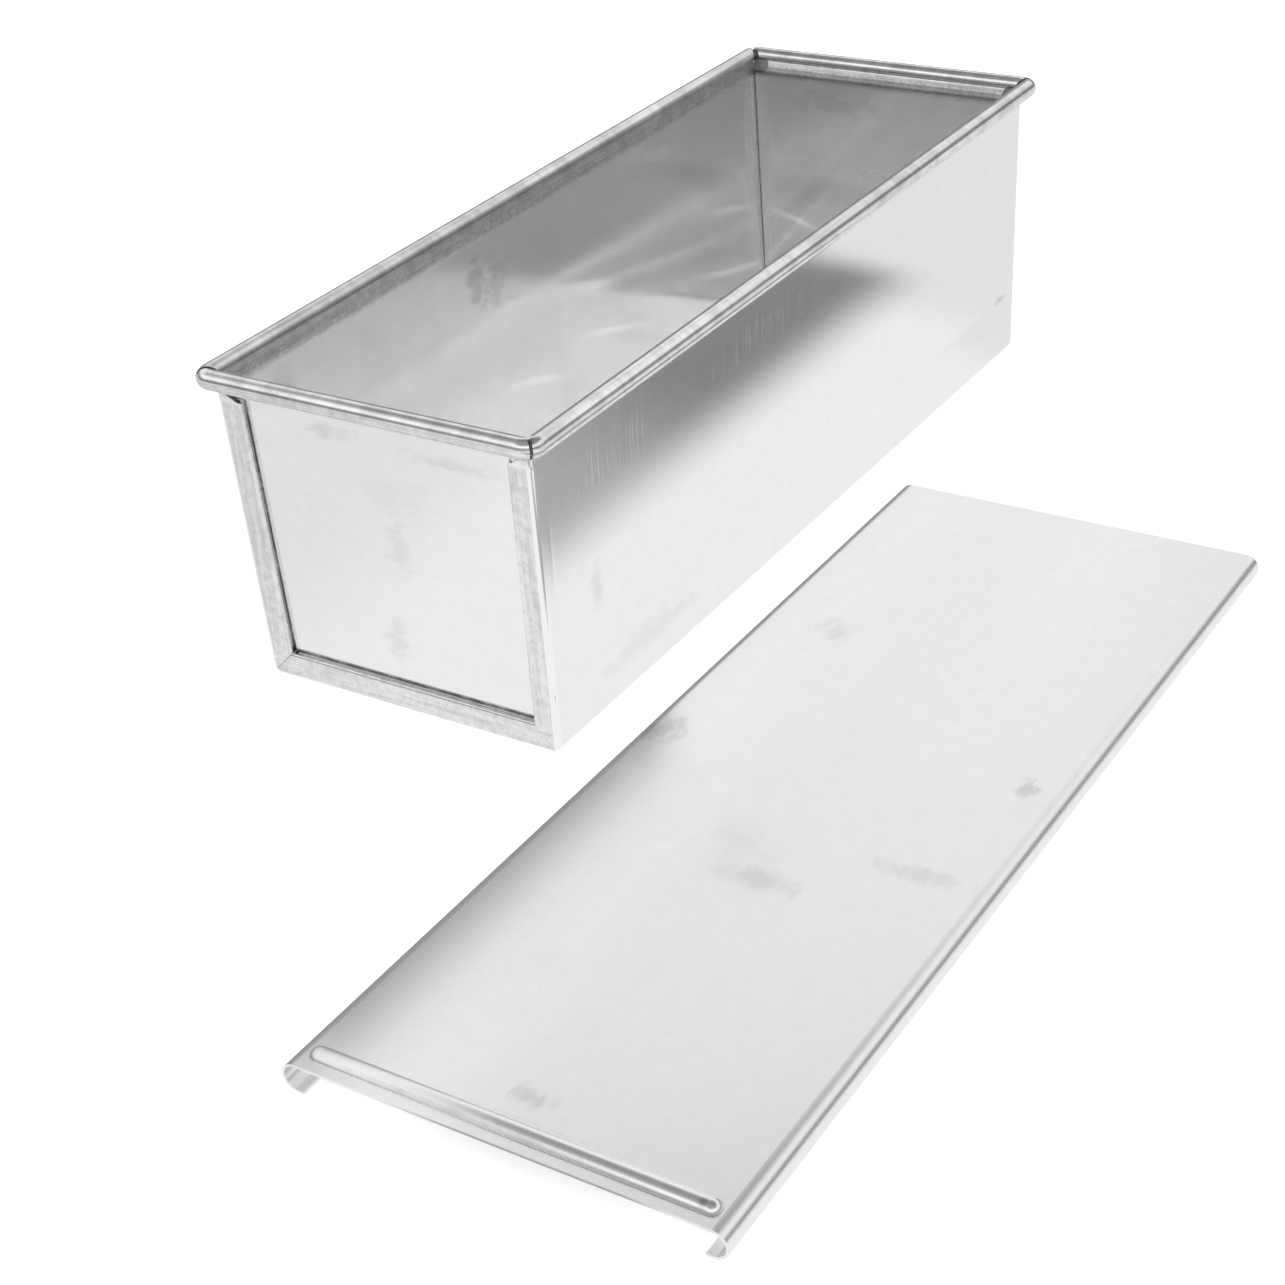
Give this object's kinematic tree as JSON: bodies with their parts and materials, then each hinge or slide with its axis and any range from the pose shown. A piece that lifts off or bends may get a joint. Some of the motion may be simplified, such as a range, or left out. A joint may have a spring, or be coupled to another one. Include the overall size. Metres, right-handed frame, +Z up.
{
  "type": "pullman loaf pan",
  "caption": "Long straight-sided loaf pan of folded sheet metal with a wired rim and lock-seamed ends, its flat lid with rolled side channels lying beside it.",
  "frame": {"origin": "centre of the pan's base, on the surface it stands on", "axes": "+X across the pan towards the side where the lid lies, +Y along the pan from its front end to its rear end, +Z up"},
  "size_m": [0.2365, 0.4306, 0.095],
  "materials": {
    "pan_sheet": "satin aluminised",
    "rim_wire": "bright drawn",
    "lid_sheet": "satin aluminised"
  },
  "bodies": {
    "pan": {"trough": "pan_sheet", "front_end_plate": "pan_sheet", "rear_end_plate": "pan_sheet", "rim_wire": "rim_wire"},
    "lid": {"lid": "lid_sheet"}
  },
  "joints": [
    {"name": "lid_slide", "type": "slide", "parent": "pan", "child": "lid", "axis": [0, 1, 0], "range_m": [0, 0.3]}
  ]
}
